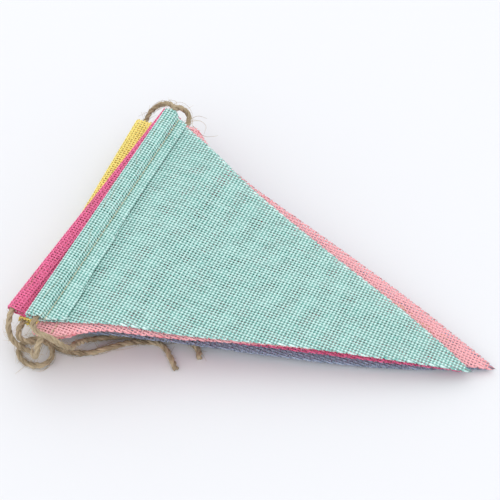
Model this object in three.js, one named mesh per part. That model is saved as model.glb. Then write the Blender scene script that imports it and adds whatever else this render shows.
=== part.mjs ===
// Fabric bunting folded up for keeping: six burlap flags lie in a stack, strung on one jute twine.
// The twine runs back and forth through the casings, so every second flag lies face down.
// Millimetres, +Z up from the table. +X runs from the casings to the tips, +Y along the casings.
// Places in the tables are measured from the middle of the top flag's fold, at the table's height.

import * as THREE from 'three';

// Where the middle of the stack's footprint lies: it becomes the part's origin
const ORIGIN = new THREE.Vector3(86.27, 2.51, 0);

// Cloth
const CLOTH = 1.0; // thickness of the burlap
const CLOTH_ROUGHNESS = 0.92;
const TIP_WIDTH = 1.6; // the tip is cut blunt
const COLUMNS = 7; // strips across a flag
// Sections from the tip to the casing, as shares of the flag's height
const BODY_SECTIONS = [
  1, 0.985, 0.96, 0.93, 0.9, 0.87, 0.83, 0.78, 0.71, 0.63, 0.55, 0.47, 0.39, 0.32, 0.26, 0.215, 0.18,
];

// Hem, measured from the outside of the fold
const CHANNEL = 2.9; // clear height around the twine
const STITCH = 9; // stitch line
const SLOPE = 2.4; // the flap comes down over this run, to the stitch line
const SEWN_GAP = 0.35; // air between the two layers past the stitch line
const HEM = 13.4; // raw edge of the flap at its +Y end
const HEM_FLARE = 4; // the flap is cut wider by this towards its -Y end
const SIDE_START = 27; // from here the casing's ends follow the line of the sides
const FOLD_STEPS = 5;
const SLOPE_STEPS = 4;

// Twine
const TWINE = 2.3; // diameter
const TWINE_COLOUR = '#a98f63';
const TWINE_ROUGHNESS = 0.95;
const LEAD_OUT = 0.6; // it runs straight this far out of a casing
const LEAD_IN = 7; // and has settled into its line this far inside
const SECTION_SIDES = 8;

// How the flags lie: heights of each sheet's underside at these distances from the top flag's fold
const LIE_X = [28, 60, 100, 140, 165, 180, 195];

// A faint swell in the loose cloth, shared by the flags so that they lie into each other.
// It grows over the first range of distances from the fold and dies away over the second.
const SWELL_GROWS = [32, 80];
const SWELL_FADES = [120, 165];
const SWELL_WAVES = [
  { rise: 1, perX: 40, perY: 13 },
  { rise: 0.6, perX: 17, perY: -21 },
];

// side 1 is hem up and -1 is hem down.
// trim is how far the fold's corners stand in from the line of the sides.
// The casing's ends are square to the fold as far as square.
// dip is how far the cut sides curve in, at -Y and at +Y, and deepest is where, as shares of the height.
// lean is how far the fold is out of square to the flag's middle line, in degrees.
// near and far are the twine's distances from the fold at the two ends of the casing.
// swell is the height of the swell's first wave.
const FLAGS = [
  {
    name: 'flag_1_mint', colour: '#8fd6c6', side: 1, width: 141.4, height: 181, trim: 3, square: 5,
    dip: [1.9, 4.1], deepest: [1 / 3, 1 / 3], lean: 0, x: 0, y: 0, turn: 0.2,
    near: 5.6, far: 3.6, swell: 0.3, lie: [26.7, 21.2, 17.4, 13.2, 9.4, 6.3, 3.9],
  },
  {
    name: 'flag_2_coral', colour: '#f59aa0', side: -1, width: 141.4, height: 184, trim: 2.6, square: 12,
    dip: [3.4, 5], deepest: [1 / 3, 1 / 8], lean: 4.4, x: 5.8, y: -3.2, turn: 3.8,
    near: 5.6, far: 5.6, swell: 0.3, lie: [25.25, 19.3, 15.3, 10.7, 6.8, 4.3, 1.7],
  },
  {
    name: 'flag_3_pink', colour: '#e2487f', side: 1, width: 146, height: 189, trim: 4.2, square: 8,
    dip: [0.3, 5], deepest: [1 / 3, 1 / 4], lean: 1.6, x: -9.8, y: 7.8, turn: -1.7,
    near: 2.8, far: 4.6, swell: 0.2, lie: [16.1, 12.6, 8.9, 5.7, 4.35, 2.8, 1.4],
  },
  {
    name: 'flag_4_yellow', colour: '#f2c54b', side: -1, width: 136, height: 179, trim: 2.6, square: 10,
    dip: [2.8, 2.8], deepest: [1 / 3, 1 / 3], lean: 0, x: -12.8, y: 3.4, turn: 3.7,
    near: 2.8, far: 4.6, swell: 0.2, lie: [14.65, 10.9, 7.2, 4, 2.85, 2.6, 2],
  },
  {
    name: 'flag_5_blue', colour: '#7c8bab', side: 1, width: 132, height: 185, trim: 2.6, square: 10,
    dip: [-5.2, 1.5], deepest: [2 / 3, 1 / 3], lean: 0, x: 3.8, y: 10.1, turn: 0,
    near: 4.6, far: 5.6, swell: 0, lie: [5.35, 5.2, 4, 2, 1.45, 1.35, 0],
  },
  {
    name: 'flag_6_green', colour: '#7cc9b8', side: -1, width: 130, height: 178, trim: 2.6, square: 10,
    dip: [2.8, 2.8], deepest: [1 / 3, 1 / 3], lean: 0, x: -2, y: 10.5, turn: -1,
    near: 4.6, far: 2.8, swell: 0, lie: [3.9, 0.6, 0, 0, 0, 0, 0],
  },
];

// The twine's free stretches, point by point: its two ends and the loops between the casings
const TOP_END = [
  [69.6, -39.2, 1.25], [67, -35.4, 1.25], [62, -33.2, 1.25], [54, -34.4, 1.25], [45, -37.3, 1.25],
  [37.4, -40.3, 1.25], [22.3, -51.4, 3.4], [20.4, -56.6, 7.2], [20.3, -62, 12], [22.7, -68.3, 18.4],
  [22.2, -71.8, 23], [19.6, -73.6, 26.8], [16, -73.6, 28.5], [12.2, -73.8, 29], [8.9, -73.2, 29.1],
  [6.5, -71.2, 29.15],
];
const LOOPS = [
  [[4.7, 72.2, 28.4], [7.7, 73.6, 26.5], [10.6, 72.1, 24.6]],
  [
    [10.8, -75.9, 22.5], [10.5, -77.5, 18.8], [9, -76.7, 14.8], [4.5, -73.5, 12], [0.1, -72.6, 10.2],
    [-4.5, -71.3, 10], [-8.1, -69.4, 11.2], [-10.1, -66.9, 14],
  ],
  [[-2.4, 80.8, 18], [-6.6, 82.8, 16.6], [-10.8, 81.4, 15], [-12.9, 77, 14]],
  [
    [-5.7, -66, 12.4], [-4, -68.6, 11.2], [-0.6, -68.8, 10], [2.4, -66.4, 8.9], [5, -63.8, 7.4],
    [8.4, -63.4, 5.2], [10.4, -66.6, 2.9], [9.2, -70.6, 1.5], [5.2, -73.2, 1.25], [0.4, -73.4, 1.25],
    [-3.8, -71.2, 1.25], [-5.8, -67, 1.25], [-4.2, -62.8, 1.6], [0, -60.8, 3], [4.4, -58.6, 5.4],
  ],
  [[8.3, 77.1, 7], [5.65, 78.4, 5.1], [3, 77, 3.2]],
];
const BOTTOM_END = [
  [2.6, -57, 1.8], [5.6, -59.6, 1.3], [10.2, -60.6, 1.25], [16.8, -60, 1.25], [23.6, -57.2, 1.25],
  [30.4, -51, 1.25], [38, -44.2, 1.25], [45, -40.9, 1.25], [49.2, -39.6, 1.25], [53.5, -40.7, 1.25],
  [57.7, -44.2, 1.25], [62.7, -48.8, 1.25],
];

const lerp = THREE.MathUtils.lerp;
const smoothstep = THREE.MathUtils.smoothstep;
const degToRad = THREE.MathUtils.degToRad;

// Smooth curve through heights over LIE_X that never rises past its own points
function heightAlong(heights, x) {
  const last = LIE_X.length - 1;
  if (x <= LIE_X[0]) return heights[0];
  if (x >= LIE_X[last]) return heights[last];
  const secant = (i) => (heights[i + 1] - heights[i]) / (LIE_X[i + 1] - LIE_X[i]);
  const slope = (i) => {
    if (i === 0 || i === last) return 0;
    const [before, after] = [secant(i - 1), secant(i)];
    return before * after > 0 ? (2 * before * after) / (before + after) : 0;
  };
  const i = LIE_X.findIndex((station) => x < station) - 1;
  const run = LIE_X[i + 1] - LIE_X[i];
  const t = (x - LIE_X[i]) / run;
  return heights[i] * (1 + 2 * t) * (1 - t) ** 2 + heights[i + 1] * t * t * (3 - 2 * t)
    + run * t * (1 - t) * (slope(i) * (1 - t) - slope(i + 1) * t);
}

function swellAt(x, y) {
  const loose = smoothstep(x, ...SWELL_GROWS) * (1 - smoothstep(x, ...SWELL_FADES));
  const waves = SWELL_WAVES.map((wave) => wave.rise * Math.sin(x / wave.perX + y / wave.perY));
  return loose * waves.reduce((sum, wave) => sum + wave, 0);
}

// Underside of a flag's sheet at a place in its own axes
function underside(flag, along, across) {
  const turn = degToRad(flag.turn);
  const x = flag.x + along * Math.cos(turn) - across * Math.sin(turn);
  const y = flag.y + along * Math.sin(turn) + across * Math.cos(turn);
  return heightAlong(flag.lie, x) + flag.swell * swellAt(x, y);
}

// Half of a flag's width at a distance from its fold, on one side of its middle line: end is -1 or 1
function halfWidth(flag, along, end) {
  const [dip, deepest] = [flag.dip, flag.deepest].map((pair) => pair[end < 0 ? 0 : 1]);
  const side = (distance) => {
    const t = distance / flag.height;
    const curve = (t / deepest) ** (3 * deepest) * ((1 - t) / (1 - deepest)) ** (3 - 3 * deepest);
    return lerp(flag.width / 2, TIP_WIDTH / 2, t) - dip * curve;
  };
  const corner = flag.width / 2 - flag.trim;
  if (along <= flag.square) return corner;
  if (along >= SIDE_START) return side(along);
  return lerp(corner, side(SIDE_START), (along - flag.square) / (SIDE_START - flag.square));
}

// How far a place moves along the flag because its fold leans
function leaning(flag, along, across) {
  return across * Math.tan(degToRad(flag.lean)) * (1 - along / flag.height);
}

// Middle line of the cloth from the tip to the fold and back along the flap: distance and rise
function hemProfile(flag) {
  const radius = (CHANNEL + CLOTH) / 2;
  const centre = radius + CLOTH / 2;
  const sewn = CLOTH + SEWN_GAP;
  const body = BODY_SECTIONS.map((share) => [share * flag.height, 0]);
  const casing = [SIDE_START, HEM, flag.square].map((along) => [along, 0]);
  const fold = [];
  for (let k = 0; k <= FOLD_STEPS; k += 1) {
    const angle = degToRad(lerp(-90, -270, k / FOLD_STEPS));
    fold.push([centre + radius * Math.cos(angle), radius + radius * Math.sin(angle)]);
  }
  const flap = [];
  for (let k = 0; k <= SLOPE_STEPS; k += 1) {
    const t = k / SLOPE_STEPS;
    flap.push([STITCH - SLOPE * (1 - t), lerp(2 * radius, sewn, smoothstep(t, 0, 1))]);
  }
  return [...body, ...casing, ...fold, ...flap, [HEM, sewn]].map((p) => new THREE.Vector2(...p));
}

// One flag: the folded strip of cloth as a closed solid, with its raw ends and cut sides
function flagGeometry(flag) {
  const line = hemProfile(flag);
  const places = [];
  for (const face of [1, -1]) {
    line.forEach((point, i) => {
      const ahead = line[Math.min(i + 1, line.length - 1)];
      const behind = line[Math.max(i - 1, 0)];
      const way = ahead.clone().sub(behind).normalize();
      const level = point.y === 0;
      const normal = level ? new THREE.Vector2(0, 1) : new THREE.Vector2(way.y, -way.x);
      const spot = point.clone().addScaledVector(normal, (face * CLOTH) / 2);
      const flare = i === line.length - 1 ? HEM_FLARE : 0;
      for (let j = 0; j <= COLUMNS; j += 1) {
        const share = j / COLUMNS;
        const across = lerp(-halfWidth(flag, spot.x + flare, -1), halfWidth(flag, spot.x, 1), share);
        const square = spot.x + flare * (1 - share) ** 2;
        const along = square + leaning(flag, square, across);
        const z = underside(flag, along, across) + CLOTH / 2 + flag.side * spot.y;
        places.push(along, across, z);
      }
    });
  }
  const index = [];
  const at = (face, i, j) => (face * line.length + i) * (COLUMNS + 1) + j;
  const quad = (a, b, c, d) => {
    if (flag.side > 0) index.push(a, b, c, a, c, d);
    else index.push(a, c, b, a, d, c);
  };
  const rows = line.length - 1;
  for (let i = 0; i < rows; i += 1) {
    for (let j = 0; j < COLUMNS; j += 1) {
      quad(at(0, i, j), at(0, i, j + 1), at(0, i + 1, j + 1), at(0, i + 1, j));
      quad(at(1, i, j), at(1, i + 1, j), at(1, i + 1, j + 1), at(1, i, j + 1));
    }
    quad(at(0, i, 0), at(0, i + 1, 0), at(1, i + 1, 0), at(1, i, 0));
    quad(at(0, i, COLUMNS), at(1, i, COLUMNS), at(1, i + 1, COLUMNS), at(0, i + 1, COLUMNS));
  }
  for (let j = 0; j < COLUMNS; j += 1) {
    quad(at(0, 0, j), at(1, 0, j), at(1, 0, j + 1), at(0, 0, j + 1));
    quad(at(0, rows, j), at(0, rows, j + 1), at(1, rows, j + 1), at(1, rows, j));
  }
  const geometry = new THREE.BufferGeometry();
  geometry.setAttribute('position', new THREE.Float32BufferAttribute(places, 3));
  geometry.setIndex(index);
  geometry.computeVertexNormals();
  return geometry;
}

function flagMesh(flag) {
  const look = { color: flag.colour, roughness: CLOTH_ROUGHNESS, metalness: 0 };
  const material = new THREE.MeshStandardMaterial(look);
  const mesh = new THREE.Mesh(flagGeometry(flag), material);
  mesh.name = flag.name;
  mesh.position.set(flag.x, flag.y, 0);
  mesh.rotation.z = degToRad(flag.turn);
  return mesh;
}

// The twine's middle in a casing. end is 1 at +Y and -1 at -Y, beyond is the distance past that end.
function inCasing(flag, end, beyond) {
  const length = flag.width - 2 * flag.trim;
  const across = end * (length / 2 + beyond);
  const along = lerp(flag.near, flag.far, across / length + 0.5);
  const place = new THREE.Vector3(along + leaning(flag, along, across), across, 0);
  place.applyAxisAngle(new THREE.Vector3(0, 0, 1), degToRad(flag.turn));
  place.x += flag.x;
  place.y += flag.y;
  place.z = flag.lie[0] + CLOTH / 2 + (flag.side * (CHANNEL + CLOTH)) / 2;
  return place;
}

// A smooth route with a section at each of its points, so that bends get more than straight stretches
class TwineRoute extends THREE.CatmullRomCurve3 {
  getUtoTmapping(u) {
    return u;
  }
}

function twineRoute() {
  const bend = (rows) => rows.map((row) => new THREE.Vector3(...row));
  const points = bend(TOP_END);
  FLAGS.forEach((flag, i) => {
    const start = i % 2 === 0 ? -1 : 1;
    points.push(inCasing(flag, start, LEAD_OUT), inCasing(flag, start, -LEAD_IN));
    points.push(inCasing(flag, -start, -LEAD_IN), inCasing(flag, -start, LEAD_OUT));
    points.push(...bend(i < LOOPS.length ? LOOPS[i] : BOTTOM_END));
  });
  return new TwineRoute(points);
}

function twineMesh() {
  const section = new THREE.Shape();
  for (let k = 0; k < SECTION_SIDES; k += 1) {
    const angle = ((k + 0.5) / SECTION_SIDES) * 2 * Math.PI;
    const corner = [(TWINE / 2) * Math.cos(angle), (TWINE / 2) * Math.sin(angle)];
    if (k === 0) section.moveTo(...corner);
    else section.lineTo(...corner);
  }
  section.closePath();
  const route = twineRoute();
  const steps = route.points.length - 1;
  const geometry = new THREE.ExtrudeGeometry(section, { steps, extrudePath: route });
  const look = { color: TWINE_COLOUR, roughness: TWINE_ROUGHNESS, metalness: 0 };
  const material = new THREE.MeshStandardMaterial(look);
  const mesh = new THREE.Mesh(geometry, material);
  mesh.name = 'twine';
  return mesh;
}

const bunting = new THREE.Group();
bunting.name = 'bunting';
for (const flag of FLAGS) bunting.add(flagMesh(flag));
bunting.add(twineMesh());
bunting.position.copy(ORIGIN).negate();

export default bunting;
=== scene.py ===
"""Looks of the folded bunting: flags woven yarn by yarn, their stitches and loose threads, and jute twine.

Lengths are in millimetres and turn to metres as meshes are made. Places in the tables are measured from the
middle of the top flag's fold, at the table's height, as the part's own source has them.
"""

import math

import bpy
import numpy as np
from mathutils import Matrix, Vector


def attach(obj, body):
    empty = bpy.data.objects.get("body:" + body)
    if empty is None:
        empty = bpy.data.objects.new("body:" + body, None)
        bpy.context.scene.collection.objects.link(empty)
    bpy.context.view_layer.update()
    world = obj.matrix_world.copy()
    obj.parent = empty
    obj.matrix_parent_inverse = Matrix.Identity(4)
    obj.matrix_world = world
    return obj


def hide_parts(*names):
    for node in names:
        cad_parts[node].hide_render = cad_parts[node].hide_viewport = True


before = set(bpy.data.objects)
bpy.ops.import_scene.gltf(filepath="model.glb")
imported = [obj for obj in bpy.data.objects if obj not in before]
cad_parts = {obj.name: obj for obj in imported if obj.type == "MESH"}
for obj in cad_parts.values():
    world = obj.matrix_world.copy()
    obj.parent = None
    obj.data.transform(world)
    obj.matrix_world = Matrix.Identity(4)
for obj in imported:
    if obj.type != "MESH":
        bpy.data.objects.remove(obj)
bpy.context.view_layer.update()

MM = 0.001
BODY = "root"
ORIGIN = np.array([86.27, 2.51, 0.0])

# Camera: the photograph's angle, in the tables' places
AZIMUTH = math.radians(24.79)
ELEVATION = math.radians(50.46)
DISTANCE = 773.0
AIM_RIGHT = 69.09
AIM_UP = -1.19
SENSOR = 36.0
LENS = 118.8
CLIP_START = 0.01

# Cloth and hem, measured from the outside of the fold
CLOTH = 1.0
TIP_WIDTH = 1.6
CHANNEL = 2.9
STITCH = 9.0
SLOPE = 2.4
SEWN_GAP = 0.35
HEM = 13.4
HEM_FLARE = 4.0
SIDE_START = 27.0
LINE_STEP = 0.25
FOLD_STEP = 5.0  # degrees
SLOPE_POINTS = 15

# How the flags lie: heights of each sheet's underside at these distances from the top flag's fold
LIE_X = np.array([28.0, 60.0, 100.0, 140.0, 165.0, 180.0, 195.0])
SWELL_GROWS = (32.0, 80.0)
SWELL_FADES = (120.0, 165.0)
SWELL_WAVES = [
    {"rise": 1.0, "per_x": 40.0, "per_y": 13.0},
    {"rise": 0.6, "per_x": 17.0, "per_y": -21.0},
]

# Weave: the warp runs from the tip to the hem and stands out more than the weft.
# wander and uneven are the lengths of the slow waves in a yarn's line and in its thickness.
WARP = {
    "pitch": 1.37, "width": 1.11, "depth": 0.5, "crimp": 0.24,
    "wander": (61.0, 27.0, 11.0), "uneven": (41.0, 14.0, 5.3),
}
WEFT = {
    "pitch": 1.52, "width": 0.9, "depth": 0.44, "crimp": 0.16,
    "wander": (53.0, 23.0, 9.0), "uneven": (37.0, 12.0, 4.7),
}
YARN_SIDES = 4
WANDER = 0.12
UNEVEN = 0.12
PATCHY = 0.1
PATCH_SIZES = (5.0, 14.0)
PATCH_WAVES = 9
PRESSED = 0.14  # yarns spread by this share past the stitches
CLOTH_SEED = 100

# Cut ends of the yarns
CUT_JITTER = 0.12
CUT_ROOM = 0.6  # share of a yarn's width kept clear for its slanting end
SHORTEST_END = 0.2
MOST_SLANT = 3.2

# Lightness of the yarns, from 0 for dark to 1 for light
TONE_MIDDLE = 0.62
TONE_OF_YARN = 0.09
TONE_ALONG = 0.12
# painted light and shade: each yarn is painted lighter on its crowns and darker between them, where light
# falls on the weave and shade gathers in it
PAINTED_CROWN_SHADING = 0.46
TONE_OFFSET = 7.0  # so that tone and thickness don't change together

# side 1 is hem up and -1 is hem down.
# trim is how far the fold's corners stand in from the line of the sides.
# The casing's ends are square to the fold as far as square.
# dip is how far the cut sides curve in, at -Y and at +Y, and deepest is where, as shares of the height.
# lean is how far the fold is out of square to the flag's middle line, in degrees.
# near and far are the twine's distances from the fold at the two ends of the casing.
# swell is the height of the swell's first wave.
# skew is the slant of the warp, in degrees.
# steps is the number of yarn sections from one crossing to the next.
FLAGS = [
    {
        "name": "flag_1_mint", "slot": "burlap_mint", "dark": "58aea2", "light": "e4fffa",
        "side": 1, "width": 141.4, "height": 181.0, "trim": 3.0, "square": 5.0, "dip": (1.9, 4.1),
        "deepest": (1 / 3, 1 / 3), "lean": 0.0, "x": 0.0, "y": 0.0, "turn": 0.2, "near": 5.6, "far": 3.6,
        "swell": 0.3, "lie": [26.7, 21.2, 17.4, 13.2, 9.4, 6.3, 3.9],
        "skew": 4.5, "steps": 2, "rests_on": "flag_2_coral",
    },
    {
        "name": "flag_2_coral", "slot": "burlap_coral", "dark": "e66f7b", "light": "ffbcc1",
        "side": -1, "width": 141.4, "height": 184.0, "trim": 2.6, "square": 12.0, "dip": (3.4, 5.0),
        "deepest": (1 / 3, 1 / 8), "lean": 4.4, "x": 5.8, "y": -3.2, "turn": 3.8, "near": 5.6, "far": 5.6,
        "swell": 0.3, "lie": [25.25, 19.3, 15.3, 10.7, 6.8, 4.3, 1.7],
        "skew": -2.0, "steps": 1, "rests_on": "flag_3_pink",
    },
    {
        "name": "flag_3_pink", "slot": "burlap_pink", "dark": "9e3055", "light": "f979a6",
        # painted shade: the pink's dark and light are set darker so that its edge under the mint reads as
        # the maroon line of shade there; partly its own hot pink, partly painted shade
        "side": 1, "width": 146.0, "height": 189.0, "trim": 4.2, "square": 8.0, "dip": (0.3, 5.0),
        "deepest": (1 / 3, 1 / 4), "lean": 1.6, "x": -9.8, "y": 7.8, "turn": -1.7, "near": 2.8, "far": 4.6,
        "swell": 0.2, "lie": [16.1, 12.6, 8.9, 5.7, 4.35, 2.8, 1.4],
        "skew": 1.5, "steps": 1, "rests_on": "flag_4_yellow",
    },
    {
        "name": "flag_4_yellow", "slot": "burlap_yellow", "dark": "e8a032", "light": "ffec85",
        "side": -1, "width": 136.0, "height": 179.0, "trim": 2.6, "square": 10.0, "dip": (2.8, 2.8),
        "deepest": (1 / 3, 1 / 3), "lean": 0.0, "x": -12.8, "y": 3.4, "turn": 3.7, "near": 2.8, "far": 4.6,
        "swell": 0.2, "lie": [14.65, 10.9, 7.2, 4.0, 2.85, 2.6, 2.0],
        "skew": -1.0, "steps": 1, "rests_on": "flag_5_blue",
    },
    {
        "name": "flag_5_blue", "slot": "burlap_blue", "dark": "4a5669", "light": "a6b5cd",
        "side": 1, "width": 132.0, "height": 185.0, "trim": 2.6, "square": 10.0, "dip": (-5.2, 1.5),
        "deepest": (2 / 3, 1 / 3), "lean": 0.0, "x": 3.8, "y": 10.1, "turn": 0.0, "near": 4.6, "far": 5.6,
        "swell": 0.0, "lie": [5.35, 5.2, 4.0, 2.0, 1.45, 1.35, 0.0],
        "skew": 2.0, "steps": 1, "rests_on": "flag_6_green",
    },
    {
        "name": "flag_6_green", "slot": "burlap_green", "dark": "4fa292", "light": "8fd9c9",
        "side": -1, "width": 130.0, "height": 178.0, "trim": 2.6, "square": 10.0, "dip": (2.8, 2.8),
        "deepest": (1 / 3, 1 / 3), "lean": 0.0, "x": -2.0, "y": 10.5, "turn": -1.0, "near": 4.6, "far": 2.8,
        "swell": 0.0, "lie": [3.9, 0.6, 0.0, 0.0, 0.0, 0.0, 0.0],
        "skew": 0.5, "steps": 1, "rests_on": "floor",
    },
]

# Sewing thread of the hems
STITCH_LENGTH = 2.5
STITCH_GAP = 0.5
STITCH_INSET = 1.0
STITCH_POINTS = 5
STITCH_SUNK = 0.14  # its ends lie this deep in the cloth's face
STITCH_BOW = 0.2
THREAD = 0.36
THREAD_FLATNESS = 0.8
THREAD_SIDES = 5
THREAD_TONE = 0.5

# Loose threads along the cut edges
FRAY_SPACING = 5.0
FRAY_JITTER = 2.0
FRAY_END = 4.0  # none this near the tip or the fold
FRAY_LENGTH = (0.4, 1.5)
FRAY_ROOT = 1.5
FRAY_BEND = 1.2
FRAY_LIFT = 0.15
FRAY_WIDTH = 0.14
FRAY_POINTS = 4

# Twine
TWINE = 2.3
LEAD_OUT = 0.6
LEAD_IN = 7.0
TWINE_STEP = 0.8
TWINE_SEED = 11
CURVE_POINTS = 40  # places worked out between two of a line's points

# Plies of the twine, with the waves of their slack, twist and tone
PLIES = 3
PLY_RADIUS = 0.68
PLY_OFFSET = 0.66
PLY_SIDES = 6
PLY_WAVES = (31.0, 13.0, 5.7)
PLY_SLACK = 0.14
PLY_TURN = 0.5
PLY_TURN_OFFSET = 9.0
PLY_TONE = 0.5
PLY_TONE_CHANGE = 0.4
PLY_TONE_OFFSET = 3.0
TWIST_LENGTH = 9.5

# Fibres: hairs stand off the twine, strays run along it, and long ones are placed one by one.
# HAIR_ROOT and STRAY_ROOT are where they start, as shares of the twine's diameter from its middle.
HAIRS = 2600
HAIR_LENGTH = (1.5, 7.0)
HAIR_SHORTENED = (0.3, 1.0)
HAIR_LEAN = (0.6, 1.6)
HAIR_OUT = (0.2, 0.7)
HAIR_CURL = 0.25
HAIR_ROOT = 0.42
HAIR_WIDTH = 0.2
HAIR_TIP = 0.35
HAIR_TONES = (0.45, 1.0)
HAIR_POINTS = 5
HAIR_SIDES = 3
HAIR_END = 4  # none on this many of the line's last places
STRAYS = 260
STRAY_LENGTH = (8.0, 26.0)
STRAY_OFFSET = (0.9, 2.4)
STRAY_ROOT = 0.4
STRAY_TURN = 2.5
STRAY_SHAPE = 0.7
STRAY_END = 40
STRAY_STRIDE = 2
LONG_FIBRE_WIDTH = 0.3
LONG_FIBRE_STEP = 1.2

# The twine's free stretches, point by point: its two ends and the loops between the casings
TOP_END = [
    [69.6, -39.2, 1.25], [67, -35.4, 1.25], [62, -33.2, 1.25], [54, -34.4, 1.25], [45, -37.3, 1.25],
    [37.4, -40.3, 1.25], [22.3, -51.4, 3.4], [20.4, -56.6, 7.2], [20.3, -62, 12], [22.7, -68.3, 18.4],
    [22.2, -71.8, 23], [19.6, -73.6, 26.8], [16, -73.6, 28.5], [12.2, -73.8, 29], [8.9, -73.2, 29.1],
    [6.5, -71.2, 29.15],
]
LOOPS = [
    [[4.7, 72.2, 28.4], [7.7, 73.6, 26.5], [10.6, 72.1, 24.6]],
    [
        [10.8, -75.9, 22.5], [10.5, -77.5, 18.8], [9, -76.7, 14.8], [4.5, -73.5, 12], [0.1, -72.6, 10.2],
        [-4.5, -71.3, 10], [-8.1, -69.4, 11.2], [-10.1, -66.9, 14],
    ],
    [[-2.4, 80.8, 18], [-6.6, 82.8, 16.6], [-10.8, 81.4, 15], [-12.9, 77, 14]],
    [
        [-5.7, -66, 12.4], [-4, -68.6, 11.2], [-0.6, -68.8, 10], [2.4, -66.4, 8.9], [5, -63.8, 7.4],
        [8.4, -63.4, 5.2], [10.4, -66.6, 2.9], [9.2, -70.6, 1.5], [5.2, -73.2, 1.25], [0.4, -73.4, 1.25],
        [-3.8, -71.2, 1.25], [-5.8, -67, 1.25], [-4.2, -62.8, 1.6], [0, -60.8, 3], [4.4, -58.6, 5.4],
    ],
    [[8.3, 77.1, 7], [5.65, 78.4, 5.1], [3, 77, 3.2]],
]
BOTTOM_END = [
    [2.6, -57, 1.8], [5.6, -59.6, 1.3], [10.2, -60.6, 1.25], [16.8, -60, 1.25], [23.6, -57.2, 1.25],
    [30.4, -51, 1.25], [38, -44.2, 1.25], [45, -40.9, 1.25], [49.2, -39.6, 1.25], [53.5, -40.7, 1.25],
    [57.7, -44.2, 1.25], [62.7, -48.8, 1.25],
]

# The long fibres that have worked loose from the twine
LONG_FIBRES = [
    [[9.2, -71, 19], [8.7, -72, 14], [5.4, -72.2, 6.5], [1.6, -73.8, 0.6], [-0.7, -80.4, 0.4]],
    [[8.5, -69.1, 14], [6.9, -71, 8], [4.2, -71.9, 2], [3.6, -73.7, 0.5]],
    [[8.8, -62.5, 9], [7.7, -64, 5], [7.1, -66.3, 1.5]],
    [[19.6, -70.7, 26], [18.9, -69.2, 20], [17.5, -67.1, 10]],
    [[18.4, -71.8, 28], [20.6, -68.2, 26], [23.4, -64.7, 24], [26, -61.1, 20]],
    [[20.8, -54.3, 8], [23, -52.4, 5], [26.1, -53, 1.5]],
    [[21.9, -53.5, 8], [23.9, -51.5, 4], [26.1, -52.1, 1.5]],
    [[12.2, 70.9, 25], [14.3, 74.1, 25], [18.5, 75.3, 24]],
    [[12.6, 69.4, 25], [16.7, 71.6, 25], [20.3, 70.6, 24], [21.3, 66.3, 23]],
    [[14.6, 68, 24], [21, 66.8, 21], [24.2, 69, 20], [26.1, 71.6, 19]],
]

# Texture map of the tubes: the part of a strip that is used, and the size of an end in its square
STRIP_SHARE = 0.9
CAP_RADIUS = 0.4

# Yarns' materials: mottle is the scale of the fibres' fine pattern
BURLAP = {"mottle": 2200.0, "bump": 0.6, "sheen": 0.15}
JUTE = {"mottle": 1800.0, "bump": 1.0, "sheen": 0.1}
SEWING = {"mottle": 2500.0, "bump": 0.4, "sheen": 0.1}
JUTE_DARK = "6c5a44"
JUTE_LIGHT = "d2bf9f"
SEWING_DARK = "b9ab86"
SEWING_LIGHT = "e2d8b8"
YARN_ROUGHNESS = 0.88
YARN_SPECULAR = 0.25
SHEEN_ROUGHNESS = 0.5
MOTTLE_DETAIL = 3.0
MOTTLE_SHARE = 0.5
BUMP_DISTANCE = 0.15

# Light and floor
FLOOR_SIZE = 6.0
FLOOR_COLOUR = (0.82, 0.825, 0.845, 1.0)
FLOOR_ROUGHNESS = 0.6
WORLD_FRONT = 1.18
WORLD_BACK = 1.02
WORLD_COLOUR = (0.97, 0.98, 1.0, 1.0)
KEY_PLACE = Vector((-0.25, 0.4, 1.3))
KEY_SIZE = 1.5
KEY_POWER = 2.5


def smoothstep(x, low, high):
    t = np.clip((x - low) / (high - low), 0.0, 1.0)
    return t * t * (3.0 - 2.0 * t)


def mix(a, b, t):
    return a + (b - a) * t


def height_along(heights, x):
    """Smooth curve through heights over LIE_X that never rises past its own points."""
    heights = np.array(heights)
    x = np.clip(x, LIE_X[0], LIE_X[-1])
    runs = np.diff(LIE_X)
    secants = np.diff(heights) / runs
    before, after = secants[:-1], secants[1:]
    bends = np.where(before * after > 0, before + after, 1.0)
    inner = np.where(before * after > 0, 2.0 * before * after / bends, 0.0)
    slopes = np.concatenate([[0.0], inner, [0.0]])
    i = np.clip(np.searchsorted(LIE_X, x, side="right") - 1, 0, len(runs) - 1)
    t = (x - LIE_X[i]) / runs[i]
    level = heights[i] * (1 + 2 * t) * (1 - t) ** 2 + heights[i + 1] * t * t * (3 - 2 * t)
    return level + runs[i] * t * (1 - t) * (slopes[i] * (1 - t) - slopes[i + 1] * t)


def swell_at(x, y):
    loose = smoothstep(x, *SWELL_GROWS) * (1.0 - smoothstep(x, *SWELL_FADES))
    return loose * sum(w["rise"] * np.sin(x / w["per_x"] + y / w["per_y"]) for w in SWELL_WAVES)


def turned(flag, along, across, z):
    """Directions in a flag's own axes as directions in the part's frame."""
    turn = math.radians(flag["turn"])
    x = along * math.cos(turn) - across * math.sin(turn)
    y = along * math.sin(turn) + across * math.cos(turn)
    return np.stack([x, y, z], axis=-1)


def to_part(flag, along, across, z):
    """Places in a flag's own axes as places in the part's frame."""
    return turned(flag, along, across, z) + np.array([flag["x"], flag["y"], 0.0]) - ORIGIN


def underside(flag, along, across):
    place = to_part(flag, along, across, np.zeros_like(along)) + ORIGIN
    x, y = place[..., 0], place[..., 1]
    return height_along(flag["lie"], x) + flag["swell"] * swell_at(x, y)


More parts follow.
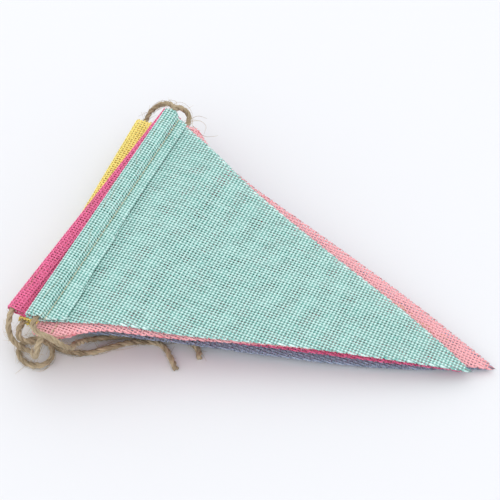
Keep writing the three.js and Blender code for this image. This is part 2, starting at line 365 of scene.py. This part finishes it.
def half_width(flag, along, end):
    """Half of a flag's width on one side of its middle line: end is -1 or 1."""
    dip, deepest = (flag[key][0 if end < 0 else 1] for key in ("dip", "deepest"))

    def side(distance):
        t = distance / flag["height"]
        curve = (t / deepest) ** (3 * deepest) * ((1.0 - t) / (1.0 - deepest)) ** (3 - 3 * deepest)
        return mix(flag["width"] / 2, TIP_WIDTH / 2, t) - dip * curve

    corner = flag["width"] / 2 - flag["trim"]
    share = np.clip((along - flag["square"]) / (SIDE_START - flag["square"]), 0.0, 1.0)
    casing = mix(corner, side(SIDE_START), share)
    return np.where(along < SIDE_START, casing, side(np.clip(along, 0.0, flag["height"])))


def leaning(flag, along, across):
    """How far a place moves along the flag because its fold leans."""
    return across * math.tan(math.radians(flag["lean"])) * (1.0 - along / flag["height"])


class Cloth:
    """A flag's sheet. reach is the distance along the cloth from the tip, over the fold, to the raw edge."""

    def __init__(self, flag):
        self.flag = flag
        radius = (CHANNEL + CLOTH) / 2
        centre = radius + CLOTH / 2
        sewn = CLOTH + SEWN_GAP
        body = np.arange(flag["height"], centre, -LINE_STEP)
        angles = np.radians(np.arange(-90.0, -270.0 - FOLD_STEP / 2, -FOLD_STEP))
        t = np.linspace(0.0, 1.0, SLOPE_POINTS)
        flap = STITCH - SLOPE * (1.0 - t)
        rest = np.arange(STITCH + LINE_STEP, HEM + HEM_FLARE + LINE_STEP / 2, LINE_STEP)
        along = [body, centre + radius * np.cos(angles), flap, rest]
        rise = [
            np.zeros_like(body), radius + radius * np.sin(angles),
            mix(2 * radius, sewn, smoothstep(t, 0.0, 1.0)), np.full_like(rest, sewn),
        ]
        self.line = np.stack([np.concatenate(along), np.concatenate(rise)], axis=1)
        gaps = np.linalg.norm(np.diff(self.line, axis=0), axis=1)
        self.reaches = np.concatenate([[0.0], np.cumsum(gaps)])
        self.length = self.reaches[-1]
        self.fold = flag["height"] - centre + radius * math.pi / 2
        self.sewn = self.length - (HEM + HEM_FLARE - STITCH)
        way = np.gradient(self.line, self.reaches, axis=0)
        self.way = way / np.linalg.norm(way, axis=1)[:, None]

    def at(self, reach):
        """Distance from the fold, rise over the sheet, and the line's direction there."""
        values = [self.line[:, 0], self.line[:, 1], self.way[:, 0], self.way[:, 1]]
        return [np.interp(reach, self.reaches, v) for v in values]

    def edge(self, reach, end):
        """Where the cut side is, across the flag: end is -1 or 1.

        The flap's raw edge slants, so at the +Y end it takes the side's place.
        """
        along = self.at(reach)[0]
        if end < 0:
            return -half_width(self.flag, along, -1)
        past = np.clip((reach - self.length) / HEM_FLARE + 1.0, 0.0, 1.0)
        return mix(half_width(self.flag, along, 1), -half_width(self.flag, along, -1), np.sqrt(past))

    def directions(self, reach):
        """Along the cloth, across it and away from its face."""
        _, _, way_along, way_rise = self.at(reach)
        side = self.flag["side"]
        zero = np.zeros_like(way_along)
        forward = turned(self.flag, way_along, zero, side * way_rise)
        across = turned(self.flag, zero, zero + 1.0, zero)
        face = turned(self.flag, way_rise, zero, -side * way_along)
        return forward, across, face

    def place(self, reach, across, lift):
        along, rise, way_along, way_rise = self.at(reach)
        along = along + lift * way_rise
        rise = rise - lift * way_along
        along = along + leaning(self.flag, along, across)
        z = underside(self.flag, along, across) + CLOTH / 2 + self.flag["side"] * rise
        return to_part(self.flag, along, across, z)

    def area(self):
        widths = self.edge(self.reaches, 1) - self.edge(self.reaches, -1)
        return float(((widths[1:] + widths[:-1]) / 2 * np.diff(self.reaches)).sum())


class Waves:
    """Slow seeded unevenness: a sum of a few waves with random phases, one set for each yarn."""

    def __init__(self, rng, count, lengths):
        self.lengths = lengths
        self.phases = rng.uniform(0.0, 2.0 * math.pi, (count, len(lengths)))

    def along(self, i, reach):
        waves = [np.sin(reach / n * 2 * math.pi + p) for n, p in zip(self.lengths, self.phases[i])]
        return sum(waves) / len(waves)


class Patches:
    """Places where the weave lies closer or more open, shared by both yarns of a cloth."""

    def __init__(self, rng):
        sizes = rng.uniform(*PATCH_SIZES, PATCH_WAVES)
        ways = rng.uniform(0.0, 2.0 * math.pi, PATCH_WAVES)
        self.waves = np.stack([np.cos(ways), np.sin(ways)], axis=1) * (2.0 * math.pi / sizes)[:, None]
        self.phases = rng.uniform(0.0, 2.0 * math.pi, PATCH_WAVES)

    def at(self, reach, across):
        turns = np.multiply.outer(reach, self.waves[:, 0]) + np.multiply.outer(across, self.waves[:, 1])
        return np.sin(turns + self.phases).sum(axis=-1) / math.sqrt(PATCH_WAVES)


def yarn_tone(of_yarn, along, crown):
    """Lightness along a yarn: its own tone, with a painted highlight on the crowns where it rides over
    another and painted shade between them.
    """
    tone = TONE_MIDDLE + TONE_OF_YARN * (of_yarn - 0.5) * 2 + TONE_ALONG * along
    return np.clip(tone + PAINTED_CROWN_SHADING * (2 * np.abs(crown) - 1), 0.0, 1.0)


def cut_slant(cloth, across, reach):
    """How far along the cloth the cut moves for each step across it, where a warp yarn ends."""
    ahead, behind = np.array(reach + SHORTEST_END / 2), np.array(reach - SHORTEST_END / 2)
    end = min((-1, 1), key=lambda side: abs(cloth.edge(ahead, side) - across(ahead)))
    cut = cloth.edge(ahead, end) - cloth.edge(behind, end)
    slope = (cut - across(ahead) + across(behind)) / SHORTEST_END
    return float(np.clip(1.0 / slope, -MOST_SLANT, MOST_SLANT)) if slope != 0 else 0.0


def warp_yarns(cloth, patches, rng):
    """Yarns that run from the tip over the fold to the raw edge."""
    flag, pitch = cloth.flag, WARP["pitch"]
    slant = math.tan(math.radians(flag["skew"]))
    step = WEFT["pitch"] / flag["steps"]
    lattice = np.arange(WEFT["pitch"] / 2, cloth.length - SHORTEST_END, step)
    spread = math.ceil((flag["width"] / 2 + abs(slant) * cloth.length) / pitch)
    lanes = np.arange(-spread, spread + 1)
    wander = Waves(rng, len(lanes), WARP["wander"])
    uneven = Waves(rng, len(lanes), WARP["uneven"])
    tones = rng.uniform(0.0, 1.0, len(lanes))
    jitters = rng.uniform(-CUT_JITTER, CUT_JITTER, len(lanes))
    for i, lane in enumerate(lanes):
        def across(reach):
            return lane * pitch + slant * (cloth.fold - reach) + WANDER * wander.along(i, reach)

        fine = np.arange(0.0, cloth.length, SHORTEST_END)
        a = across(fine)
        inside = fine[(a > cloth.edge(fine, -1)) & (a < cloth.edge(fine, 1))]
        if len(inside) == 0 or inside[-1] - inside[0] < 2 * WEFT["pitch"]:
            continue
        first, last = np.clip(inside[[0, -1]] + jitters[i], 0.0, cloth.length)
        slants = [cut_slant(cloth, across, reach) for reach in (first, last)]
        room = SHORTEST_END + np.abs(slants) * WARP["width"] * CUT_ROOM
        kept = lattice[(lattice > first + room[0]) & (lattice < last - room[1])]
        r = np.concatenate([[first], kept, [last]])
        a = across(r)
        crown = np.cos(math.pi * (r / WEFT["pitch"] - 0.5 + lane))
        forward, sideways, face = cloth.directions(r)
        sideways[[0, -1]] += forward[[0, -1]] * np.array(slants)[:, None]
        swell = 1.0 + UNEVEN * uneven.along(i, r) - PATCHY * patches.at(r, a) + PRESSED * (r > cloth.sewn)
        yield {
            "points": cloth.place(r, a, WARP["crimp"] * crown), "side": sideways, "face": face,
            "width": WARP["width"] * swell, "depth": WARP["depth"] * np.sqrt(swell),
            "tone": yarn_tone(tones[i], uneven.along(i, r + TONE_OFFSET), crown),
        }


def weft_yarns(cloth, patches, rng):
    """Yarns that run from side to side."""
    flag, pitch = cloth.flag, WARP["pitch"]
    slant = math.tan(math.radians(flag["skew"]))
    step = pitch / flag["steps"]
    count = int(cloth.length / WEFT["pitch"])
    wander = Waves(rng, count, WEFT["wander"])
    uneven = Waves(rng, count, WEFT["uneven"])
    tones = rng.uniform(0.0, 1.0, count)
    for j in range(count):
        reach = (j + 0.5) * WEFT["pitch"]
        jitter = rng.uniform(-CUT_JITTER, CUT_JITTER, 2)
        first, last = (float(cloth.edge(np.array(reach), end)) + jitter[k] for k, end in enumerate((-1, 1)))
        if last - first < 2 * pitch:
            continue
        drift = slant * (cloth.fold - reach)
        crossings = np.arange(math.ceil((first - drift) / step), math.floor((last - drift) / step) + 1)
        kept = drift + crossings * step
        kept = kept[(kept > first + SHORTEST_END) & (kept < last - SHORTEST_END)]
        a = np.concatenate([[first], kept, [last]])
        r = np.clip(reach + WANDER * wander.along(j, a), 0.0, cloth.length)
        crown = np.cos(math.pi * ((a - drift) / pitch + j))
        forward, _, face = cloth.directions(r)
        swell = 1.0 + UNEVEN * uneven.along(j, a) - PATCHY * patches.at(r, a) + PRESSED * (r > cloth.sewn)
        yield {
            "points": cloth.place(r, a, -WEFT["crimp"] * crown), "side": forward, "face": face,
            "width": WEFT["width"] * swell, "depth": WEFT["depth"] * np.sqrt(swell),
            "tone": yarn_tone(tones[j], uneven.along(j, a + TONE_OFFSET), crown),
        }


def tube_mesh(name, tubes, sides):
    """One mesh of closed tubes. Each has points, the directions and sizes of its section, and a tone.

    Each tube is one strip of the texture map, with its ends in a row of small squares above the strips.
    """
    tubes = list(tubes)
    angles = 2.0 * math.pi * np.arange(sides) / sides
    rows = len(tubes) + 1
    longest = max(np.linalg.norm(np.diff(t["points"], axis=0), axis=1).sum() for t in tubes)
    verts, quads, caps, tones, quad_maps, cap_maps, start = [], [], [], [], [], [], 0
    for row, tube in enumerate(tubes):
        points, side, face = tube["points"], tube["side"], tube["face"]
        count = len(points)
        way = np.gradient(points, axis=0)
        if (side * np.cross(way, face)).sum() < 0:
            side = -side
        wide = (np.asarray(tube["width"]) / 2 * np.ones(count))[:, None, None]
        deep = (np.asarray(tube["depth"]) / 2 * np.ones(count))[:, None, None]
        ring = wide * side[:, None] * np.cos(angles)[:, None]
        ring = ring + deep * face[:, None] * np.sin(angles)[:, None]
        verts.append((points[:, None] + ring).reshape(-1, 3))
        tones.append(np.repeat(tube["tone"] * np.ones(count), sides))
        i, k = np.meshgrid(np.arange(count - 1), np.arange(sides), indexing="ij")
        after = (k + 1) % sides
        corners = [i * sides + k, (i + 1) * sides + k, (i + 1) * sides + after, i * sides + after]
        quads.append(start + np.stack(corners, axis=-1).reshape(-1, 4))
        run = np.concatenate([[0.0], np.cumsum(np.linalg.norm(np.diff(points, axis=0), axis=1))]) / longest
        low, high = ((row + STRIP_SHARE * edge / sides) / rows for edge in (k, k + 1))
        u = np.stack([run[i], run[i + 1], run[i + 1], run[i]], axis=-1)
        v = np.stack([low, low, high, high], axis=-1)
        quad_maps.append(np.stack([u, v], axis=-1).reshape(-1, 2))
        for end, rim in enumerate((np.arange(sides), (count - 1) * sides + np.arange(sides)[::-1])):
            caps.append(start + rim)
            u = (2 * row + end + 0.5 + CAP_RADIUS * np.cos(angles)) / (2 * rows)
            v = (rows - 0.5 + CAP_RADIUS * np.sin(angles)) / rows
            cap_maps.append(np.stack([u, v], axis=-1))
        start += count * sides
    mesh = bpy.data.meshes.new(name)
    faces = np.concatenate(quads)
    mesh.vertices.add(start)
    mesh.vertices.foreach_set("co", (np.concatenate(verts) * MM).astype(np.float32).ravel())
    loops = np.concatenate([faces.ravel(), *caps])
    mesh.loops.add(len(loops))
    mesh.loops.foreach_set("vertex_index", loops.astype(np.int32))
    sizes = np.concatenate([np.full(len(faces), 4), np.full(len(caps), sides)])
    mesh.polygons.add(len(sizes))
    mesh.polygons.foreach_set("loop_start", (np.cumsum(sizes) - sizes).astype(np.int32))
    tone = mesh.attributes.new("tone", "FLOAT", "POINT")
    tone.data.foreach_set("value", np.concatenate(tones).astype(np.float32))
    texture_map = mesh.uv_layers.new(name="OFBake")
    texture_map.data.foreach_set("uv", np.concatenate(quad_maps + cap_maps).astype(np.float32).ravel())
    mesh.update(calc_edges=True)
    mesh.validate()
    mesh.shade_smooth()
    piece = bpy.data.objects.new(name, mesh)
    bpy.context.scene.collection.objects.link(piece)
    return piece


def stitches(cloth):
    """Runs of sewing thread on the flap's face and on the sheet's other face."""
    flag = cloth.flag
    half = flag["width"] / 2 - flag["trim"] - STITCH_INSET
    bow = np.sin(np.linspace(0.0, math.pi, STITCH_POINTS))
    for reach in (cloth.sewn, flag["height"] - STITCH):
        for begin in np.arange(-half, half - STITCH_LENGTH, STITCH_LENGTH + STITCH_GAP):
            across = begin + np.linspace(0.0, STITCH_LENGTH, STITCH_POINTS)
            r = np.full(STITCH_POINTS, reach)
            forward, _, face = cloth.directions(r)
            lift = STITCH_SUNK - CLOTH / 2 - STITCH_BOW * bow
            yield {
                "points": cloth.place(r, across, lift), "side": forward, "face": face,
                "width": THREAD, "depth": THREAD * THREAD_FLATNESS, "tone": THREAD_TONE,
            }


def hair(points, width, rng):
    """A fibre that tapers to its tip."""
    way = np.gradient(points, axis=0)
    way /= np.linalg.norm(way, axis=1)[:, None]
    side = np.cross(way, rng.normal(size=3))
    side /= np.linalg.norm(side, axis=1)[:, None]
    taper = width * np.linspace(1.0, HAIR_TIP, len(points))
    return {
        "points": points, "side": side, "face": np.cross(side, way),
        "width": taper, "depth": taper, "tone": rng.uniform(*HAIR_TONES),
    }


def fray(cloth, rng):
    """Short loose threads along the two cut sides."""
    share = np.linspace(0.0, 1.0, FRAY_POINTS)
    for end in (-1, 1):
        for reach in np.arange(FRAY_END, cloth.fold - FRAY_END, FRAY_SPACING):
            reach = reach + rng.uniform(-FRAY_JITTER, FRAY_JITTER)
            length = rng.uniform(*FRAY_LENGTH)
            across = cloth.edge(np.array(reach), end) + end * ((length + FRAY_ROOT) * share - FRAY_ROOT)
            r = reach + rng.uniform(-FRAY_BEND, FRAY_BEND) * share ** 2 * length
            lift = FRAY_LIFT * rng.uniform(-1.0, 1.0) * np.ones(FRAY_POINTS)
            points = cloth.place(np.clip(r, 0.0, cloth.length), across, lift)
            points[:, 2] = np.maximum(points[:, 2], FRAY_WIDTH)
            yield hair(points, FRAY_WIDTH, rng)


def in_casing(flag, end, beyond):
    """The twine's middle in a casing. end is 1 at +Y and -1 at -Y, beyond is the distance past that end."""
    length = flag["width"] - 2 * flag["trim"]
    across = end * (length / 2 + beyond)
    along = mix(flag["near"], flag["far"], across / length + 0.5)
    z = flag["lie"][0] + CLOTH / 2 + flag["side"] * (CHANNEL + CLOTH) / 2
    along = along + leaning(flag, along, across)
    return (to_part(flag, np.array(along), np.array(across), np.array(z)) + ORIGIN).tolist()


def twine_points():
    points = list(TOP_END)
    for i, flag in enumerate(FLAGS):
        start = -1 if i % 2 == 0 else 1
        points += [in_casing(flag, start, LEAD_OUT), in_casing(flag, start, -LEAD_IN)]
        points += [in_casing(flag, -start, -LEAD_IN), in_casing(flag, -start, LEAD_OUT)]
        points += LOOPS[i] if i < len(LOOPS) else BOTTOM_END
    return np.array(points, float) - ORIGIN


def smooth_line(points, step):
    """Centripetal curve through points, with places about step apart."""
    padded = np.concatenate([[2 * points[0] - points[1]], points, [2 * points[-1] - points[-2]]])
    line = []
    for p0, p1, p2, p3 in zip(padded, padded[1:], padded[2:], padded[3:]):
        d0, d1, d2 = (math.sqrt(np.linalg.norm(b - a)) for a, b in ((p0, p1), (p1, p2), (p2, p3)))
        m1 = ((p1 - p0) / d0 - (p2 - p0) / (d0 + d1) + (p2 - p1) / d1) * d1
        m2 = ((p2 - p1) / d1 - (p3 - p1) / (d1 + d2) + (p3 - p2) / d2) * d1
        t = np.linspace(0.0, 1.0, CURVE_POINTS, endpoint=False)[:, None]
        line.append(
            p1 * (1 + 2 * t) * (1 - t) ** 2 + p2 * t * t * (3 - 2 * t)
            + m1 * t * (1 - t) ** 2 - m2 * t * t * (1 - t)
        )
    line = np.concatenate([*line, points[-1:]])
    along = np.concatenate([[0.0], np.cumsum(np.linalg.norm(np.diff(line, axis=0), axis=1))])
    at = np.linspace(0.0, along[-1], int(along[-1] / step) + 1)
    return np.stack([np.interp(at, along, line[:, k]) for k in range(3)], axis=1), at


def carried_frames(line):
    """The line's direction and two directions square to it that turn with it as little as they can."""
    way = np.gradient(line, axis=0)
    way /= np.linalg.norm(way, axis=1)[:, None]
    first = np.zeros_like(way)
    side = np.cross(way[0], [0.0, 0.0, 1.0])
    for i, w in enumerate(way):
        side = side - w * (side @ w)
        side /= np.linalg.norm(side)
        first[i] = side
    return way, first, np.cross(way, first)


def ply_tubes(line, at, rng):
    """The twisted strands of the twine."""
    _, first, second = carried_frames(line)
    uneven = Waves(rng, PLIES, PLY_WAVES)
    for k in range(PLIES):
        slack = 1.0 + PLY_SLACK * uneven.along(k, at)
        angle = at / TWIST_LENGTH * 2 * math.pi + k / PLIES * 2 * math.pi
        angle = angle + PLY_TURN * uneven.along(k, at + PLY_TURN_OFFSET)
        out = first * np.cos(angle)[:, None] + second * np.sin(angle)[:, None]
        points = line + out * (PLY_OFFSET * slack)[:, None]
        way = np.gradient(points, axis=0)
        way /= np.linalg.norm(way, axis=1)[:, None]
        side = np.cross(way, out)
        side /= np.linalg.norm(side, axis=1)[:, None]
        yield {
            "points": points, "side": side, "face": np.cross(side, way),
            "width": 2 * PLY_RADIUS * slack, "depth": 2 * PLY_RADIUS * slack,
            "tone": PLY_TONE + PLY_TONE_CHANGE * uneven.along(k, at + PLY_TONE_OFFSET),
        }


def twine_hairs(line, rng):
    """Short fibres that stand off the twine, and the long ones that have come loose."""
    way, first, second = carried_frames(line)
    share = np.linspace(0.0, 1.0, HAIR_POINTS)[:, None]
    for i in rng.integers(HAIR_END, len(line) - HAIR_END, HAIRS):
        angle = rng.uniform(0.0, 2 * math.pi)
        out = first[i] * math.cos(angle) + second[i] * math.sin(angle)
        lean = way[i] * rng.choice([-1.0, 1.0]) * rng.uniform(*HAIR_LEAN)
        length = rng.uniform(*HAIR_LENGTH) * rng.uniform(*HAIR_SHORTENED)
        heading = (out * rng.uniform(*HAIR_OUT) + lean) / HAIR_LEAN[1]
        curl = rng.normal(size=3) * HAIR_CURL
        points = line[i] + out * TWINE * HAIR_ROOT + length * (heading * share + curl * share ** 2)
        points[:, 2] = np.maximum(points[:, 2], HAIR_WIDTH)
        yield hair(points, HAIR_WIDTH, rng)
    for i in rng.integers(0, len(line) - STRAY_END, STRAYS):
        run = slice(i, i + int(rng.uniform(*STRAY_LENGTH) / TWINE_STEP))
        share = np.linspace(0.0, 1.0, len(line[run]))
        angle = rng.uniform(0.0, 2 * math.pi) + rng.uniform(-STRAY_TURN, STRAY_TURN) * share
        bow = np.sin(math.pi * share) ** STRAY_SHAPE
        off = TWINE * STRAY_ROOT + rng.uniform(*STRAY_OFFSET) * bow
        out = first[run] * np.cos(angle)[:, None] + second[run] * np.sin(angle)[:, None]
        points = line[run] + out * off[:, None]
        points[:, 2] = np.maximum(points[:, 2], HAIR_WIDTH)
        yield hair(points[::STRAY_STRIDE], HAIR_WIDTH, rng)
    for rows in LONG_FIBRES:
        points, _ = smooth_line(np.array(rows, float) - ORIGIN, LONG_FIBRE_STEP)
        yield hair(points, LONG_FIBRE_WIDTH, rng)


def linear(code):
    """A colour code as linear light."""
    parts = [int(code[k:k + 2], 16) / 255 for k in (0, 2, 4)]
    return (*[c / 12.92 if c <= 0.04045 else ((c + 0.055) / 1.055) ** 2.4 for c in parts], 1.0)


def yarn_material(name, dark, light, look):
    """Matt yarn: its tone runs along each yarn, with a fine mottle of fibres."""
    material = bpy.data.materials.new(name)
    material.use_nodes = True
    nodes, links = material.node_tree.nodes, material.node_tree.links
    shader = nodes["Principled BSDF"]
    shader.inputs["Roughness"].default_value = YARN_ROUGHNESS
    shader.inputs["Specular IOR Level"].default_value = YARN_SPECULAR
    shader.inputs["Sheen Weight"].default_value = look["sheen"]
    shader.inputs["Sheen Roughness"].default_value = SHEEN_ROUGHNESS
    tone = nodes.new("ShaderNodeAttribute")
    tone.attribute_name = "tone"
    place = nodes.new("ShaderNodeTexCoord")
    mottle = nodes.new("ShaderNodeTexNoise")
    mottle.inputs["Scale"].default_value = look["mottle"]
    mottle.inputs["Detail"].default_value = MOTTLE_DETAIL
    links.new(place.outputs["Object"], mottle.inputs["Vector"])
    blend = nodes.new("ShaderNodeMath")
    blend.operation = "MULTIPLY_ADD"
    blend.inputs[1].default_value = MOTTLE_SHARE
    links.new(mottle.outputs["Fac"], blend.inputs[0])
    shift = nodes.new("ShaderNodeMath")
    shift.operation = "SUBTRACT"
    shift.inputs[1].default_value = MOTTLE_SHARE / 2
    links.new(tone.outputs["Fac"], shift.inputs[0])
    links.new(shift.outputs[0], blend.inputs[2])
    ramp = nodes.new("ShaderNodeValToRGB")
    ramp.color_ramp.elements[0].color = linear(dark)
    ramp.color_ramp.elements[1].color = linear(light)
    links.new(blend.outputs[0], ramp.inputs["Fac"])
    links.new(ramp.outputs["Color"], shader.inputs["Base Color"])
    rough = nodes.new("ShaderNodeBump")
    rough.inputs["Strength"].default_value = look["bump"]
    rough.inputs["Distance"].default_value = BUMP_DISTANCE * MM
    links.new(mottle.outputs["Fac"], rough.inputs["Height"])
    links.new(rough.outputs["Normal"], shader.inputs["Normal"])
    return material


def finish_piece(piece, material, slot):
    piece.data.materials.append(material)
    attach(piece, BODY)
    return piece


def make_camera():
    back = Vector((
        math.sin(AZIMUTH) * math.cos(ELEVATION),
        -math.cos(AZIMUTH) * math.cos(ELEVATION),
        math.sin(ELEVATION),
    ))
    right = Vector((math.cos(AZIMUTH), math.sin(AZIMUTH), 0.0))
    up = back.cross(right)
    place = back * DISTANCE + right * AIM_RIGHT + up * AIM_UP - Vector(ORIGIN)
    camera = bpy.data.objects.new("camera", bpy.data.cameras.new("camera"))
    camera.matrix_world = Matrix.Translation(place * MM) @ Matrix((right, up, back)).transposed().to_4x4()
    camera.data.sensor_width = SENSOR
    camera.data.lens = LENS
    camera.data.clip_start = CLIP_START
    bpy.context.scene.collection.objects.link(camera)
    bpy.context.scene.camera = camera


def make_twine():
    rng = np.random.default_rng(TWINE_SEED)
    line, at = smooth_line(twine_points(), TWINE_STEP)
    jute = yarn_material("jute", JUTE_DARK, JUTE_LIGHT, JUTE)
    twine = finish_piece(tube_mesh("twine_plies", ply_tubes(line, at, rng), PLY_SIDES), jute, "jute_twine")
    hairs = finish_piece(tube_mesh("twine_fibres", twine_hairs(line, rng), HAIR_SIDES), jute, "jute_twine")
    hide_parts("twine")


def make_flag(flag, number, thread):
    rng = np.random.default_rng(CLOTH_SEED + number)
    cloth = Cloth(flag)
    patches = Patches(rng)
    name, slot = flag["name"], flag["slot"]
    burlap = yarn_material(slot, flag["dark"], flag["light"], BURLAP)
    warp = finish_piece(tube_mesh(name + "_warp", warp_yarns(cloth, patches, rng), YARN_SIDES), burlap, slot)
    weft = finish_piece(tube_mesh(name + "_weft", weft_yarns(cloth, patches, rng), YARN_SIDES), burlap, slot)
    sewing = finish_piece(tube_mesh(name + "_stitches", stitches(cloth), THREAD_SIDES), thread, "jute_twine")
    edge = finish_piece(tube_mesh(name + "_fray", fray(cloth, rng), HAIR_SIDES), burlap, slot)
    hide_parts(name)
    cloth.area() * MM * MM


def make_floor():
    half = FLOOR_SIZE / 2
    mesh = bpy.data.meshes.new("floor")
    corners = [(-half, -half, 0), (half, -half, 0), (half, half, 0), (-half, half, 0)]
    mesh.from_pydata(corners, [], [(0, 1, 2, 3)])
    floor = bpy.data.objects.new("floor", mesh)
    material = bpy.data.materials.new("floor")
    material.use_nodes = True
    shader = material.node_tree.nodes["Principled BSDF"]
    shader.inputs["Base Color"].default_value = FLOOR_COLOUR
    shader.inputs["Roughness"].default_value = FLOOR_ROUGHNESS
    mesh.materials.append(material)
    bpy.context.scene.collection.objects.link(floor)


def make_light():
    scene = bpy.context.scene
    scene.view_settings.view_transform = "Standard"
    world = bpy.data.worlds.new("studio")
    world.use_nodes = True
    nodes, links = world.node_tree.nodes, world.node_tree.links
    sky = nodes["Background"]
    sky.inputs["Color"].default_value = WORLD_COLOUR
    way = nodes.new("ShaderNodeTexCoord")
    axes = nodes.new("ShaderNodeSeparateXYZ")
    strength = nodes.new("ShaderNodeMapRange")
    strength.inputs["From Min"].default_value = -1.0
    strength.inputs["To Min"].default_value = WORLD_FRONT
    strength.inputs["To Max"].default_value = WORLD_BACK
    links.new(way.outputs["Generated"], axes.inputs[0])
    links.new(axes.outputs["Y"], strength.inputs["Value"])
    links.new(strength.outputs[0], sky.inputs["Strength"])
    scene.world = world
    key = bpy.data.objects.new("key", bpy.data.lights.new("key", "AREA"))
    key.data.size = KEY_SIZE
    key.data.energy = KEY_POWER
    key.location = KEY_PLACE
    key.rotation_euler = KEY_PLACE.to_track_quat("Z", "Y").to_euler()
    scene.collection.objects.link(key)


make_camera()
make_twine()
sewing_thread = yarn_material("sewing_thread", SEWING_DARK, SEWING_LIGHT, SEWING)
for number, flag in enumerate(FLAGS):
    make_flag(flag, number, sewing_thread)
make_floor()
make_light()
